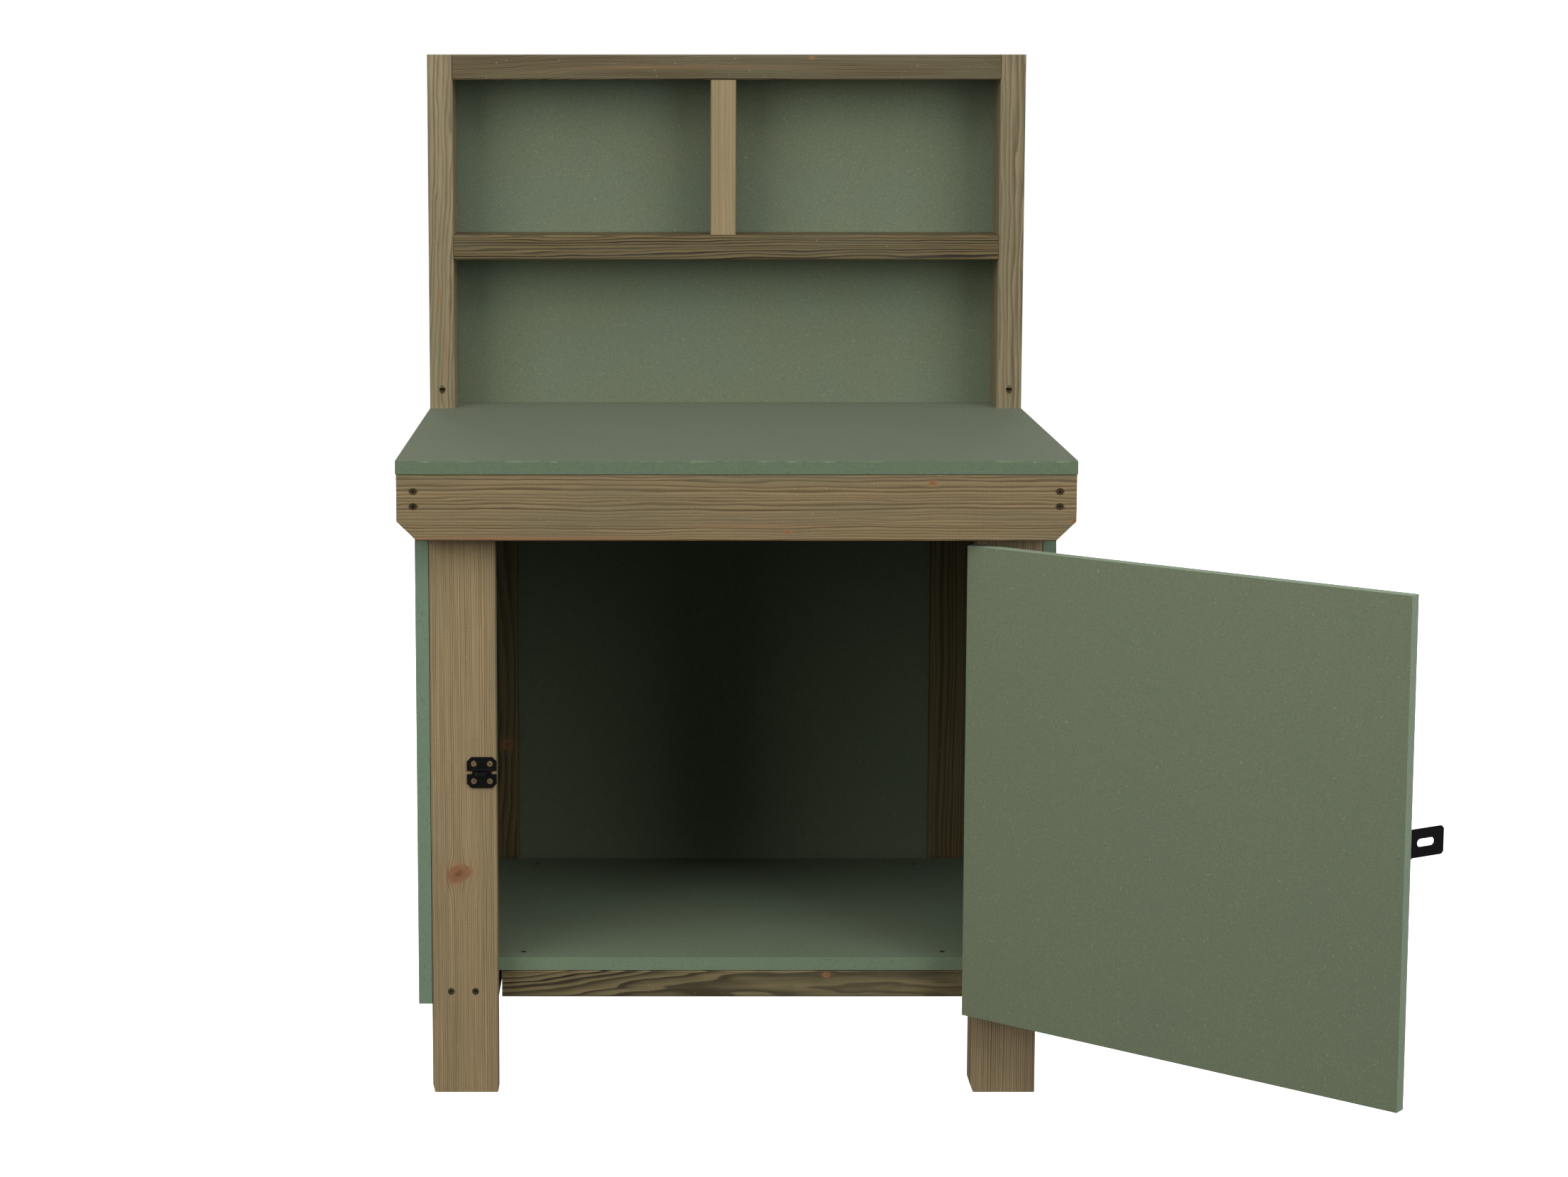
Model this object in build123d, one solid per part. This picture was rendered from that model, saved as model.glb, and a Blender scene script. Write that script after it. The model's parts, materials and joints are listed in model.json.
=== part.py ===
from build123d import *
import os

# A potting bench of pressure-treated studs and green board, in millimetres.
# Modelled about a point on the floor midway between the four feet. +X is right, +Y is back, +Z is up.
# The files are written with the origin on the floor in the middle of the front left foot.

# Driving dimensions: the whole bench
bench_width = 900  # worktop and upper back panel
bench_height = 1406  # floor to the top of the upper frame
worktop_top = 872
leg_span_x = 820  # over the outer faces of the legs
leg_span_y = 694  # front face of the front legs to back face of the rear legs
cupboard_bottom = 122  # underside of the bottom rails
floor_depth = 538  # front to back of the cupboard floor
middle_shelf_top = 1135.5
divider_x = -4.5  # centre of the shelf divider
lip = 1  # the worktop stands this far proud of the aprons

# Driving dimensions: the stock
sheet = 18  # green board
stud = 38  # thickness of every stud
wide = 89
narrow = 63
arris = 3  # rounding of the studs' long edges
corner_cut_x = 27  # cut corners of the front apron
corner_cut_z = 26
panel_bottom = 124

# Driving dimensions: the door
door_width = 635
door_bottom = 115
door_height = 642
door_gap = 3  # hinge side
door_open = 141  # degrees, as the bench stands
door_pin_stand = 3.5  # hinge axis in front of the leg face
door_pin_inset = 1.5  # hinge axis out from the leg's inner face, over the gap

# Driving dimensions: ironwork
plate = 2  # every hinge, hasp and staple plate
hinge_barrel_r = 3.5
hinge_pin_r = 2.0
running_gap = 0.05  # radial clearance of the turning barrels
barrel_gap = 0.3  # between neighbouring barrels
leaf_gap = 0.5  # between a barrel and the plate it turns past
hinge_plate_width = 28
hinge_plate_height = 80
strap_length = 150
strap_root = 27.4
strap_tip = 16
hinge_heights = (662, 210)
hasp_z = 447
hasp_pin_r = 1.5
hasp_barrel_r = 3.5
hasp_pin_stand = 4.5  # pin in front of the door face
hasp_pin_inset = 4.5  # pin in from the door's free edge
hasp_reach = 50  # end of the leaf beyond the door's free edge
hasp_height = 36
hasp_plate_length = 44
hasp_tongue = 12.4  # barrel of the leaf
hasp_fold = 68  # degrees, as the leaf hangs
slot_length = 28
slot_height = 10
slot_centre = 21  # beyond the door's free edge
leaf_corner = 3.5
staple_x = -340.4
staple_z = 445
staple_width = 40
staple_height = 42.5
staple_corner = 6
notch_depth = 7
notch_height = 4.4
ridge_width = 26
ridge_height = 9
ridge_rise = 1
loop_width = 17
loop_reach = 18  # in front of the leg face
loop_round = 8
loop_wire = 3.2
loop_thick = 4
staple_screw_x = 10.8
staple_screw_z = 11.9

# Screws: (length, shank radius, head radius)
frame_screw = (75, 2.5, 4.75)
panel_screw = (40, 2.0, 4.0)
hinge_screw = (30, 1.8, 3.9)
strap_screw = (16, 1.8, 3.9)
small_screw = (16, 1.6, 3.9)
screw_tip = 6
head_sunk = 1.0  # frame screws are driven just below the timber's face

# Places worked out from those
half_width = bench_width / 2
leg_outer = leg_span_x / 2
leg_inner = leg_outer - wide
leg_front = -leg_span_y / 2
leg_back = leg_span_y / 2
apron_front = leg_front - stud
worktop_under = worktop_top - sheet
apron_under = worktop_under - wide
side_apron_under = worktop_under - narrow
rail_top = cupboard_bottom + stud
rail_mid = cupboard_bottom + stud / 2
floor_front = leg_front + stud
floor_back = floor_front + floor_depth
upright_inner = half_width - stud
upright_front = leg_back - wide
panel_back = leg_back + sheet
hinge_x = leg_inner - door_pin_inset
hinge_y = leg_front - door_pin_stand
door_right = leg_inner - door_gap
door_left = door_right - door_width
door_top = door_bottom + door_height
hasp_pin_x = door_left + hasp_pin_inset
hasp_pin_y = leg_front - hasp_pin_stand
foot_x = leg_inner + wide / 2  # middle of each foot, from the middle of the bench
foot_y = leg_back - stud / 2

frame = {}  # nodes fixed to the bench
door = {}  # nodes that swing with the door, made with the door shut
leaf = {}  # nodes that fold with the hasp leaf, made with the hasp shut


def block(x, y, z):
    """A box between two corners, each axis given as (low, high)."""
    size = Box(x[1] - x[0], y[1] - y[0], z[1] - z[0])
    return Pos((x[0] + x[1]) / 2, (y[0] + y[1]) / 2, (z[0] + z[1]) / 2) * size


def timber(x, y, z):
    """A stud with its four long edges rounded."""
    lengths = [x[1] - x[0], y[1] - y[0], z[1] - z[0]]
    grain = (Axis.X, Axis.Y, Axis.Z)[lengths.index(max(lengths))]
    body = block(x, y, z)
    return fillet(body.edges().filter_by(grain), arris)


def sides(near, far):
    """The left and right spans of a mirrored pair."""
    return {"left": (-far, -near), "right": (near, far)}


def rod(at, along, radius, length):
    """A round bar that starts at a point and runs along a direction."""
    base = (Align.CENTER, Align.CENTER, Align.MIN)
    return Plane(origin=at, z_dir=along) * Cylinder(radius, length, align=base)


def screw(at, along, size, sunk=0.0):
    """A countersunk screw and the hole that it fits, with the head's face sunk below the point given."""
    length, shank_r, head_r = size
    base = (Align.CENTER, Align.CENTER, Align.MIN)
    head_height = head_r - shank_r
    shank_length = length - head_height - screw_tip
    seat = Plane(origin=at, z_dir=along)
    head = Pos(0, 0, sunk) * Cone(head_r, shank_r, head_height, align=base)
    shank = Pos(0, 0, sunk + head_height) * Cylinder(shank_r, shank_length, align=base)
    point = Pos(0, 0, sunk + length - screw_tip) * Cone(shank_r, shank_r / 5, screw_tip, align=base)
    body = seat * (head + shank + point)
    hole = body
    if sunk:
        hole = body + seat * Cylinder(head_r, sunk, align=base)
    return body, hole


def overlaps(a, b):
    """True if two bounding boxes meet."""
    low = all(p <= q for p, q in zip(tuple(a.min), tuple(b.max)))
    high = all(p >= q for p, q in zip(tuple(a.max), tuple(b.min)))
    return low and high


def drive(group, name, places):
    """Adds a node of screws to a group and cuts their holes in every piece that they enter."""
    pairs = [screw(*place) for place in places]
    for node, body in list(group.items()):
        if node.endswith("screws"):
            continue
        reach = body.bounding_box()
        holes = [hole for _, hole in pairs if overlaps(reach, hole.bounding_box())]
        if holes:
            group[node] = body - holes
    group[name] = Compound(children=[body for body, _ in pairs])


def barrel(x, y, z, outer_r, bore_r, reach, toward, web):
    """One knuckle around an upright pin, with the web that joins it to its plate."""
    height = z[1] - z[0]
    ring = rod((x, y, z[0]), (0, 0, 1), outer_r, height)
    tail = (x, x + reach) if toward > 0 else (x - reach, x)
    solid = ring + block(tail, web, z)
    return solid - rod((x, y, z[0]), (0, 0, 1), bore_r, height)


# The studs and boards of the bench
def build_base():
    """The four legs, the aprons, the bottom rails, the floor and the panels of the cupboard."""
    front = (leg_front, leg_front + stud)
    rear = (leg_back - stud, leg_back)
    between = (front[1], rear[0])
    for side, x in sides(leg_inner, leg_outer).items():
        frame[f"front_leg_{side}"] = timber(x, front, (0, worktop_under))
        frame[f"rear_leg_{side}"] = timber(x, rear, (0, worktop_under))
        frame[f"bottom_side_rail_{side}"] = timber(x, between, (cupboard_bottom, rail_top))
    for side, x in sides(leg_outer, leg_outer + stud).items():
        frame[f"side_apron_{side}"] = timber(x, (leg_front, leg_back), (side_apron_under, worktop_under))
    for side, x in sides(leg_outer, leg_outer + sheet).items():
        frame[f"side_panel_{side}"] = block(x, (leg_front, leg_back), (panel_bottom, side_apron_under))
    frame["front_apron"] = front_apron()
    frame["rear_apron"] = timber((-leg_inner, leg_inner), rear, (apron_under, worktop_under))
    rail = (-leg_inner + door_gap + lip, leg_inner - door_gap - lip)
    frame["bottom_front_rail"] = timber(rail, (floor_front, floor_front + narrow), (cupboard_bottom, rail_top))
    frame["bottom_rear_rail"] = timber(rail, (floor_back - narrow, floor_back), (cupboard_bottom, rail_top))
    floor_x = (-leg_outer, leg_outer)
    frame["cupboard_floor"] = block(floor_x, (floor_front, floor_back), (rail_top, rail_top + sheet))
    back_x = (-leg_outer - sheet, leg_outer + sheet)
    frame["lower_back_panel"] = block(back_x, (leg_back, panel_back), (panel_bottom, apron_under))


def front_apron():
    """The wide board across the front, with its two lower corners cut off."""
    end = half_width - lip
    board = timber((-end, end), (apron_front, leg_front), (apron_under, worktop_under))
    for side in (-1, 1):
        corner = [
            (side * (end + lip), apron_under - lip),
            (side * (end - corner_cut_x - lip), apron_under - lip),
            (side * (end + lip), apron_under + corner_cut_z + lip),
        ]
        face = make_face(Plane.XZ * Polyline(*corner, close=True))
        board -= Pos(0, leg_front + lip, 0) * extrude(face, stud + 2 * lip, dir=(0, -1, 0))
    return board


def build_top():
    """The worktop and the framed shelf unit that stands on its back edge."""
    upright_y = (upright_front, leg_back)
    shelf_z = (middle_shelf_top - stud, middle_shelf_top)
    rail_z = (bench_height - stud, bench_height)
    inside = (-upright_inner, upright_inner)
    frame["worktop"] = block((-half_width, half_width), (apron_front - lip, leg_back), (worktop_under, worktop_top))
    for side, x in sides(upright_inner, half_width).items():
        frame[f"upright_{side}"] = timber(x, upright_y, (worktop_top, bench_height))
    frame["top_rail"] = timber(inside, upright_y, rail_z)
    frame["middle_shelf"] = timber(inside, upright_y, shelf_z)
    divider = (divider_x - stud / 2, divider_x + stud / 2)
    frame["shelf_divider"] = timber(divider, upright_y, (middle_shelf_top, rail_z[0]))
    frame["upper_back_panel"] = block((-half_width, half_width), (leg_back, panel_back), (apron_under, bench_height))


# The ironwork
def build_hinges():
    """Two tee hinges: an upright plate on the right leg and a tapering strap on the door's outer face."""
    face = (leg_front - plate, leg_front)
    free = hinge_barrel_r + leaf_gap
    bore = hinge_pin_r + running_gap
    for label, z in zip(("upper", "lower"), hinge_heights):
        half = hinge_plate_height / 2
        middle = strap_root / 2
        leg_plate = block((hinge_x + free, hinge_x + hinge_plate_width), face, (z - half, z + half))
        outer_edges = leg_plate.edges().filter_by(Axis.Y).group_by(Axis.X)[-1]
        leg_plate = fillet(outer_edges, arris)
        for span in ((z - half, z - middle - barrel_gap), (z + middle + barrel_gap, z + half)):
            leg_plate += barrel(hinge_x, hinge_y, span, hinge_barrel_r, hinge_pin_r, free, 1, face)
        frame[f"hinge_plate_{label}"] = leg_plate
        frame[f"hinge_pin_{label}"] = rod((hinge_x, hinge_y, z - half), (0, 0, 1), hinge_pin_r, hinge_plate_height)
        outline = [
            (hinge_x - free, z - middle),
            (hinge_x - free, z + middle),
            (hinge_x - strap_length, z + strap_tip / 2),
            (hinge_x - strap_length, z - strap_tip / 2),
        ]
        taper = extrude(make_face(Plane.XZ * Polyline(*outline, close=True)), plate, dir=(0, -1, 0))
        strap = Pos(0, leg_front, 0) * taper
        tip_edges = strap.edges().filter_by(Axis.Y).group_by(Axis.X)[0]
        strap = fillet(tip_edges, strap_tip / 3)
        root = (z - middle, z + middle)
        strap += barrel(hinge_x, hinge_y, root, hinge_barrel_r, bore, free, -1, face)
        door[f"hinge_strap_{label}"] = strap


def build_hasp():
    """The hasp plate and its pin on the door, and the slotted leaf that folds over the staple."""
    face = (leg_front - plate, leg_front)
    half = hasp_height / 2
    tongue = hasp_tongue / 2
    free = hasp_barrel_r + leaf_gap
    bore = hasp_pin_r + running_gap
    x, y = hasp_pin_x, hasp_pin_y
    body = block((x + free, x + hasp_plate_length), face, (hasp_z - half, hasp_z + half))
    body = chamfer(body.edges().filter_by(Axis.Y).group_by(Axis.X)[-1], leaf_corner)
    for span in ((hasp_z - half, hasp_z - tongue - barrel_gap), (hasp_z + tongue + barrel_gap, hasp_z + half)):
        body += barrel(x, y, span, hasp_barrel_r, hasp_pin_r, free, 1, face)
    door["hasp_plate"] = body
    door["hasp_pin"] = rod((x, y, hasp_z - half), (0, 0, 1), hasp_pin_r, hasp_height)
    thick = (y - plate / 2, y + plate / 2)
    end = door_left - hasp_reach
    tongue_z = (hasp_z - tongue, hasp_z + tongue)
    strap = block((end, x - free), thick, (hasp_z - half, hasp_z + half))
    strap = chamfer(strap.edges().filter_by(Axis.Y).group_by(Axis.X)[0], leaf_corner)
    strap += barrel(x, y, tongue_z, hasp_barrel_r, bore, free, -1, thick)
    slot = extrude(Plane.XZ * SlotOverall(slot_length, slot_height), plate * 2, dir=(0, -1, 0))
    leaf["hasp_leaf"] = strap - Pos(door_left - slot_centre, y + plate, hasp_z) * slot


def build_staple():
    """The staple: a notched plate on the left leg with a flat loop that stands out through the leaf's slot."""
    face = (leg_front - plate, leg_front)
    x = (staple_x - staple_width / 2, staple_x + staple_width / 2)
    z = (staple_z - staple_height / 2, staple_z + staple_height / 2)
    body = block(x, face, z)
    body = chamfer(body.edges().filter_by(Axis.Y), staple_corner)
    mid = (staple_z - notch_height / 2, staple_z + notch_height / 2)
    for notch in ((x[0], x[0] + notch_depth), (x[1] - notch_depth, x[1])):
        body -= block(notch, face, mid)
    ridge_x = (staple_x - ridge_width / 2, staple_x + ridge_width / 2)
    ridge_z = (staple_z - ridge_height / 2, staple_z + ridge_height / 2)
    body += block(ridge_x, (leg_front - plate - ridge_rise, leg_front - plate), ridge_z)
    body += staple_loop()
    frame["staple"] = body


def staple_loop():
    """A flat ring that lies level and stands out from the leg."""
    low = staple_z - loop_thick / 2
    reach_y = (leg_front - loop_reach, leg_front)
    span_x = (staple_x - loop_width / 2, staple_x + loop_width / 2)
    high = staple_z + loop_thick / 2
    outer = block(span_x, reach_y, (low, high))
    outer = fillet(outer.edges().filter_by(Axis.Z).group_by(Axis.Y)[0], loop_round)
    inner_x = (span_x[0] + loop_wire, span_x[1] - loop_wire)
    inner_y = (reach_y[0] + loop_wire, leg_front - plate - ridge_rise)
    inner = block(inner_x, inner_y, (low, high))
    inner = fillet(inner.edges().filter_by(Axis.Z).group_by(Axis.Y)[0], loop_round - loop_wire)
    return outer - inner


def build_door():
    """The door board, shut flush with the front faces of the legs."""
    door["door_panel"] = block((door_left, door_right), (leg_front, leg_front + sheet), (door_bottom, door_top))


# The screws
def drive_base_screws():
    """Screws that hold the aprons, legs, rails, floor and cupboard panels together."""
    into, out_of = (0, 1, 0), (0, -1, 0)
    apron = [(s * 426.5, z) for s in (-1, 1) for z in (831, 811)]
    drive(frame, "apron_screws", [((x, apron_front, z), into, frame_screw, head_sunk) for x, z in apron])
    rail = [(s * x, y, d) for s in (-1, 1) for x in (351, 384) for y, d in ((leg_front, into), (leg_back, out_of))]
    drive(frame, "leg_screws", [((x, y, rail_mid), d, frame_screw, head_sunk) for x, y, d in rail])
    leg_mid = leg_span_y / 2 - stud / 2
    corners = [(s, e * leg_mid) for s in (-1, 1) for e in (-1, 1)]
    outside = leg_outer + stud
    joints = [((s * outside, y, z), (-s, 0, 0), (60, 2.5, 4.75), head_sunk) for s, y in corners for z in (842, 800)]
    drive(frame, "side_apron_screws", joints)
    skin = leg_outer + sheet
    edges = [((s * skin, y, z), (-s, 0, 0), panel_screw) for s, y in corners for z in (180, 455, 735)]
    drive(frame, "side_panel_screws", edges)
    floor_at = [(s * 288, y) for s in (-1, 1) for y in (floor_front + 28, floor_back - 34)]
    drive(frame, "floor_screws", [((x, y, rail_top + sheet), (0, 0, -1), panel_screw) for x, y in floor_at])
    low = [(s * (leg_inner + wide / 2), z) for s in (-1, 1) for z in (190, 455, 735)]
    high = [(s * (half_width - stud / 2), z) for s in (-1, 1) for z in (905, 1130, 1385)]
    across = [(s * 180, z) for s in (-1, 1) for z in (820, middle_shelf_top - stud / 2, bench_height - stud / 2)]
    back = [((x, panel_back, z), out_of, panel_screw) for x, z in low + high + across]
    drive(frame, "back_panel_screws", back)


def drive_upper_screws():
    """Screws that hold the upper frame together and to the worktop."""
    rows = (upright_front + 24, leg_back - 24)
    shelf_mid = middle_shelf_top - stud / 2
    rail_mid_z = bench_height - stud / 2
    ends = [(s, y, z) for s in (-1, 1) for y in rows for z in (shelf_mid, rail_mid_z)]
    joints = [((s * half_width, y, z), (-s, 0, 0), frame_screw, head_sunk) for s, y, z in ends]
    drive(frame, "upper_frame_screws", joints)
    above = [((divider_x, y, bench_height), (0, 0, -1), frame_screw, head_sunk) for y in rows]
    below = [((divider_x, y, middle_shelf_top - stud), (0, 0, 1), frame_screw, head_sunk) for y in rows]
    drive(frame, "divider_screws", above + below)
    slope = (0, 0.5, -0.87)
    toes = [((s * 431, upright_front, 903), slope, frame_screw, head_sunk * 3) for s in (-1, 1)]
    drive(frame, "upright_toe_screws", toes)


def drive_iron_screws():
    """Screws of the hinges, the hasp and the staple."""
    into = (0, 1, 0)
    top = leg_front - plate
    leg_x = hinge_x + hinge_plate_width * 0.62
    on_leg = [(leg_x + dx, z + dz) for z in hinge_heights for dx, dz in ((0, -32), (4, -12), (4, 12), (0, 32))]
    drive(frame, "hinge_plate_screws", [((x, top, z), into, hinge_screw) for x, z in on_leg])
    on_strap = [(hinge_x - reach, z) for z in hinge_heights for reach in (22, 78, 138)]
    drive(door, "hinge_strap_screws", [((x, top, z), into, strap_screw) for x, z in on_strap])
    inboard = ((14, -11), (14, 11), (34, 0))
    on_hasp = [(hasp_pin_x + dx, hasp_z + dz) for dx, dz in inboard]
    drive(door, "hasp_plate_screws", [((x, top, z), into, small_screw) for x, z in on_hasp])
    pairs = [(sx, sz) for sx in (-1, 1) for sz in (-1, 1)]
    on_staple = [(staple_x + sx * staple_screw_x, staple_z + sz * staple_screw_z) for sx, sz in pairs]
    drive(frame, "staple_screws", [((x, top, z), into, small_screw) for x, z in on_staple])


def turned(body, x, y, angle):
    """A piece turned about an upright axis."""
    return Pos(x, y, 0) * Rot(0, 0, angle) * Pos(-x, -y, 0) * body


def write_nodes():
    """Opens the door, folds the leaf, moves the origin to the front left foot, and writes one file for each node."""
    os.makedirs("parts", exist_ok=True)
    from_foot = Pos(foot_x, foot_y, 0)
    for name, body in frame.items():
        export_step(from_foot * body, f"parts/{name}.step")
    for name, body in leaf.items():
        door[name] = turned(body, hasp_pin_x, hasp_pin_y, hasp_fold)
    for name, body in door.items():
        export_step(from_foot * turned(body, hinge_x, hinge_y, door_open), f"parts/{name}.step")


build_base()
build_top()
build_door()
build_hinges()
build_hasp()
build_staple()
drive_base_screws()
drive_upper_screws()
drive_iron_screws()
write_nodes()
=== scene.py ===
import json
import math
import random

import bmesh
import bpy
from mathutils import Matrix, Vector


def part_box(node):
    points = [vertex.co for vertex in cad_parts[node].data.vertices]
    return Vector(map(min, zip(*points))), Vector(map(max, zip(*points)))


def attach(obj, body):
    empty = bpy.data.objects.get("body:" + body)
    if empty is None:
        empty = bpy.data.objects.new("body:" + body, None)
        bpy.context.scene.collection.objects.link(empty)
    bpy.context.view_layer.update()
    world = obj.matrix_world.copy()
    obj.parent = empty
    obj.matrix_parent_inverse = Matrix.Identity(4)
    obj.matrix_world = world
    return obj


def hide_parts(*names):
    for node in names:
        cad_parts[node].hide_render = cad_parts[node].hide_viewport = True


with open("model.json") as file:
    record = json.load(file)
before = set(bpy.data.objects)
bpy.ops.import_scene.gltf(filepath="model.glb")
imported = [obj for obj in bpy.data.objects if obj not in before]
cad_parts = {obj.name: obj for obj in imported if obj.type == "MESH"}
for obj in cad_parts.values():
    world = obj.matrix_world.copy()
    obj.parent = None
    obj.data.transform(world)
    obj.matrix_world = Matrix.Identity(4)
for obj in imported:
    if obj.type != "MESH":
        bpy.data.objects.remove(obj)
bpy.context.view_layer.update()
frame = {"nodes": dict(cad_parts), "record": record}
scene = bpy.context.scene
bodyOf = {node: body for body, nodes in frame["record"]["behaviour"]["bodies"].items() for node in nodes}
slotOf = {row["node"]: row["material_slot"] for row in frame["record"]["subparts"]}

# Camera, lights and floor
viewpoint = {
    "place": (0.2591, -4.1011, 1.3786),
    "tilt": 7.18,  # degrees down
    "lens": 71.09,
    "sensor": 36.0,
    "farthest": 200.0,
    "shiftX": 0.0818,
    "shiftY": -0.08,
}
studio = {  # turns and heights in degrees, distances and sizes in metres
    "aim": (0.37, 0.33, 0.7),  # metres, about the middle of the bench
    "side": {"turns": (-45, 45), "height": 19, "far": 5.5, "size": 3.3, "power": 152, "shine": True},
    "top": {"turns": (0,), "height": 62, "far": 4.5, "size": 3.2, "power": 128, "shine": True},
    "flank": {"turns": (-100, 100), "height": 12, "far": 6.0, "size": 3.5, "power": 85, "shine": False},
    "back": {"turns": (180,), "height": 25, "far": 6.0, "size": 4.0, "power": 300, "shine": False},
    "air": (0.97, 0.98, 0.96, 1.0),
    "airPower": 0.1,
    "floorSize": 60.0,
    "floorPaint": (0.93, 0.93, 0.925, 1.0),
    "floorRough": 0.95,
    "floorSheen": 0.1,
    "floorGlow": 0.93,
}


def placeCamera(look):
    data = bpy.data.cameras.new("benchView")
    data.lens = look["lens"]
    data.sensor_width = look["sensor"]
    data.shift_x = look["shiftX"]
    data.shift_y = look["shiftY"]
    data.clip_end = look["farthest"]
    camera = bpy.data.objects.new("benchView", data)
    camera.location = look["place"]
    camera.rotation_euler = (math.radians(90 - look["tilt"]), 0, 0)
    scene.collection.objects.link(camera)
    scene.camera = camera


def hangSoftbox(name, turn, box, aim):  # turn 0 hangs it in front of the bench
    data = bpy.data.lights.new(name, "AREA")
    data.energy = box["power"]
    data.size = box["size"]
    lamp = bpy.data.objects.new(name, data)
    around = math.radians(turn)
    rise = math.radians(box["height"])
    back = Vector((math.sin(around) * math.cos(rise), -math.cos(around) * math.cos(rise), math.sin(rise)))
    lamp.location = Vector(aim) + back * box["far"]
    lamp.rotation_euler = back.to_track_quat("Z", "Y").to_euler()
    lamp.visible_camera = False
    lamp.visible_glossy = box["shine"]
    scene.collection.objects.link(lamp)


def lightStudio(look):
    for side in ("side", "top", "flank", "back"):  # flank and back lamps lighten the sides without a shine
        for turn in look[side]["turns"]:
            hangSoftbox(f"{side}Softbox{turn}", turn, look[side], look["aim"])
    world = bpy.data.worlds.new("studioAir")
    world.use_nodes = True
    tree = world.node_tree
    tree.nodes.clear()
    output = tree.nodes.new("ShaderNodeOutputWorld")
    soft = tree.nodes.new("ShaderNodeBackground")
    soft.inputs["Color"].default_value = look["air"]
    soft.inputs["Strength"].default_value = look["airPower"]
    backdrop = tree.nodes.new("ShaderNodeBackground")
    rays = tree.nodes.new("ShaderNodeLightPath")
    blend = tree.nodes.new("ShaderNodeMixShader")
    backdrop.inputs["Color"].default_value = (1, 1, 1, 1)
    tree.links.new(rays.outputs["Is Camera Ray"], blend.inputs[0])
    tree.links.new(soft.outputs[0], blend.inputs[1])
    tree.links.new(backdrop.outputs[0], blend.inputs[2])
    tree.links.new(blend.outputs[0], output.inputs["Surface"])
    scene.world = world
    scene.view_settings.view_transform = "Standard"


def layFloor(look):
    shape = bmesh.new()
    bmesh.ops.create_grid(shape, x_segments=1, y_segments=1, size=look["floorSize"] / 2)
    mesh = bpy.data.meshes.new("studioFloor")
    shape.to_mesh(mesh)
    shape.free()
    floor = bpy.data.objects.new("studioFloor", mesh)
    scene.collection.objects.link(floor)
    paper = bpy.data.materials.new("palePaper")
    paper.use_nodes = True
    shader = paper.node_tree.nodes["Principled BSDF"]
    shader.inputs["Base Color"].default_value = look["floorPaint"]
    shader.inputs["Roughness"].default_value = look["floorRough"]
    shader.inputs["Specular IOR Level"].default_value = look["floorSheen"]
    shader.inputs["Emission Color"].default_value = (1, 1, 1, 1)
    shader.inputs["Emission Strength"].default_value = look["floorGlow"]
    mesh.materials.append(paper)
    floor.visible_diffuse = False  # the pale floor throws no light up into the cupboard or on the iron
    floor.visible_glossy = False


placeCamera(viewpoint)
lightStudio(studio)
layFloor(studio)
print("camera, light and floor are set")


# Small helpers that wire up material nodes
def paint(red, green, blue):
    linear = []
    for part in (red, green, blue):
        share = part / 255
        linear.append(share / 12.92 if share <= 0.04045 else ((share + 0.055) / 1.055) ** 2.4)
    return (*linear, 1.0)


def feed(tree, socket, value):
    if isinstance(value, bpy.types.NodeSocket):
        tree.links.new(value, socket)
    else:
        socket.default_value = value


def calc(tree, operation, *values, clamp=False):
    node = tree.nodes.new("ShaderNodeMath")
    node.operation = operation
    node.use_clamp = clamp
    for socket, value in zip(node.inputs, values):
        feed(tree, socket, value)
    return node.outputs[0]


def combine(tree, x, y, z):
    node = tree.nodes.new("ShaderNodeCombineXYZ")
    for socket, value in zip(node.inputs, (x, y, z)):
        feed(tree, socket, value)
    return node.outputs[0]


def noise(tree, vector, scale, detail=2.0, roughness=0.5, distortion=0.0):
    node = tree.nodes.new("ShaderNodeTexNoise")
    node.inputs["Scale"].default_value = scale
    node.inputs["Detail"].default_value = detail
    node.inputs["Roughness"].default_value = roughness
    node.inputs["Distortion"].default_value = distortion
    tree.links.new(vector, node.inputs["Vector"])
    return node.outputs[0]


def spread(tree, value, low, high, toLow=0.0, toHigh=1.0):  # a soft step from low to high
    node = tree.nodes.new("ShaderNodeMapRange")
    node.interpolation_type = "SMOOTHSTEP"
    for socket, setting in zip(node.inputs, (value, low, high, toLow, toHigh)):
        feed(tree, socket, setting)
    return node.outputs[0]


def mix(tree, share, first, second, blend="MIX"):
    node = tree.nodes.new("ShaderNodeMix")
    node.data_type = "RGBA"
    node.blend_type = blend
    feed(tree, node.inputs[0], share)
    feed(tree, node.inputs[6], first)  # 6 and 7 are the two colour sockets
    feed(tree, node.inputs[7], second)
    return node.outputs[2]


def curveOf(tree, value, stops):  # stops are pairs of place and level
    node = tree.nodes.new("ShaderNodeValToRGB")
    marks = node.color_ramp.elements
    while len(marks) < len(stops):
        marks.new(0.5)
    for mark, (place, level) in zip(marks, stops):
        mark.position = place
        mark.color = (level, level, level, 1)
    feed(tree, node.inputs[0], value)
    return node.outputs[0]


def shift(tree, vector, amount):  # moves a pattern, so that two uses of it differ
    node = tree.nodes.new("ShaderNodeVectorMath")
    node.operation = "ADD"
    tree.links.new(vector, node.inputs[0])
    node.inputs[1].default_value = (amount, amount * 1.7, amount * 0.6)
    return node.outputs[0]


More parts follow.
